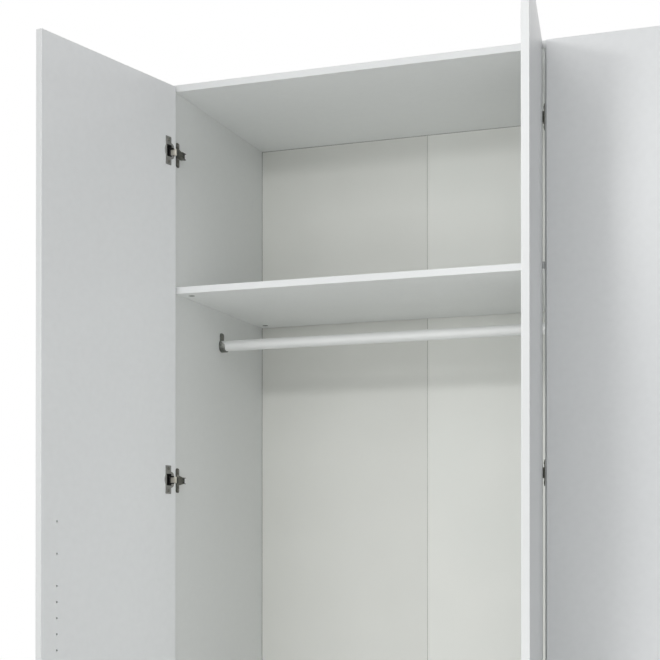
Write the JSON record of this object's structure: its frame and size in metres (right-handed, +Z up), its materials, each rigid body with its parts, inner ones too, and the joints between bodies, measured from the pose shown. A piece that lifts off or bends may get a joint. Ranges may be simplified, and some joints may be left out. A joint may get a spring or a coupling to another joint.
{
  "type": "corner wardrobe",
  "caption": "White board wardrobe for a blind corner: hinged doors beside a fixed blind panel, with a hat shelf and a clothes rail that run on behind the panel.",
  "frame": {"origin": "on the floor in the middle of the carcass's footprint, under the base's middle glide", "axes": "+X along the front from the doors to the blind panel, +Y from front to back, +Z up"},
  "size_m": [1.5222, 0.9365, 2.114],
  "materials": {
    "white_melamine": "white melamine-faced chipboard",
    "white_hardboard": "white lacquered hardboard",
    "white_plastic": "moulded",
    "grey_plastic": "moulded",
    "white_tube": "white powder coat",
    "beech": "bare wood",
    "die_cast_zinc": "die cast",
    "brushed_handle": "brushed",
    "nickel_steel": "nickel plated"
  },
  "bodies": {
    "carcass": {"front_plinth": "white_melamine", "rear_plinth": "white_melamine", "plinth_cross_board": "white_melamine", "plinth_dowels": "beech", "floor_glides": "grey_plastic", "left_side": "white_melamine", "right_side": "white_melamine", "top_panel": "white_melamine", "bottom_panel": "white_melamine", "hat_shelf": "white_melamine", "hinge_stile": "white_melamine", "back_left": "white_hardboard", "back_middle": "white_hardboard", "back_right": "white_hardboard", "back_joint_strips": "white_plastic", "top_screws": "nickel_steel", "bottom_screws": "nickel_steel", "screw_caps": "white_plastic", "shelf_cams": "die_cast_zinc", "shelf_cam_bolts": "nickel_steel", "hanging_rail": "white_tube", "rail_end_left": "die_cast_zinc", "rail_end_right": "die_cast_zinc", "rail_hanger": "white_plastic", "rail_screws": "nickel_steel", "blind_panel": "white_melamine", "blind_panel_brackets": "nickel_steel", "blind_bracket_screws": "nickel_steel", "wall_brackets": "nickel_steel", "wall_bracket_screws": "nickel_steel", "left_hinge_plates": "nickel_steel", "left_hinge_arms": "nickel_steel", "left_plate_screws": "nickel_steel", "left_arm_screws": "nickel_steel", "right_hinge_plates": "nickel_steel", "right_hinge_arms": "nickel_steel", "right_plate_screws": "nickel_steel", "right_arm_screws": "nickel_steel"},
    "left_leaf": {"left_door": "white_melamine", "left_hinge_cups": "nickel_steel", "left_hinge_pins": "nickel_steel", "left_cup_screws": "nickel_steel", "left_handle_grip": "brushed_handle", "left_handle_posts": "brushed_handle", "left_handle_screws": "nickel_steel"},
    "right_leaf": {"right_door": "white_melamine", "right_hinge_cups": "nickel_steel", "right_hinge_pins": "nickel_steel", "right_cup_screws": "nickel_steel", "right_handle_grip": "brushed_handle", "right_handle_posts": "brushed_handle", "right_handle_screws": "nickel_steel"}
  },
  "joints": [
    {"name": "left_door_hinge", "type": "hinge", "parent": "carcass", "child": "left_leaf", "pos_m": [-0.69589, -0.273, 1.0715], "axis": [0, 0, -1], "range_deg": [-102.9, 2.1]},
    {"name": "right_door_hinge", "type": "hinge", "parent": "carcass", "child": "right_leaf", "pos_m": [0.12665, -0.273, 1.0715], "axis": [0, 0, 1], "range_deg": [-98.4, 6.6]}
  ]
}
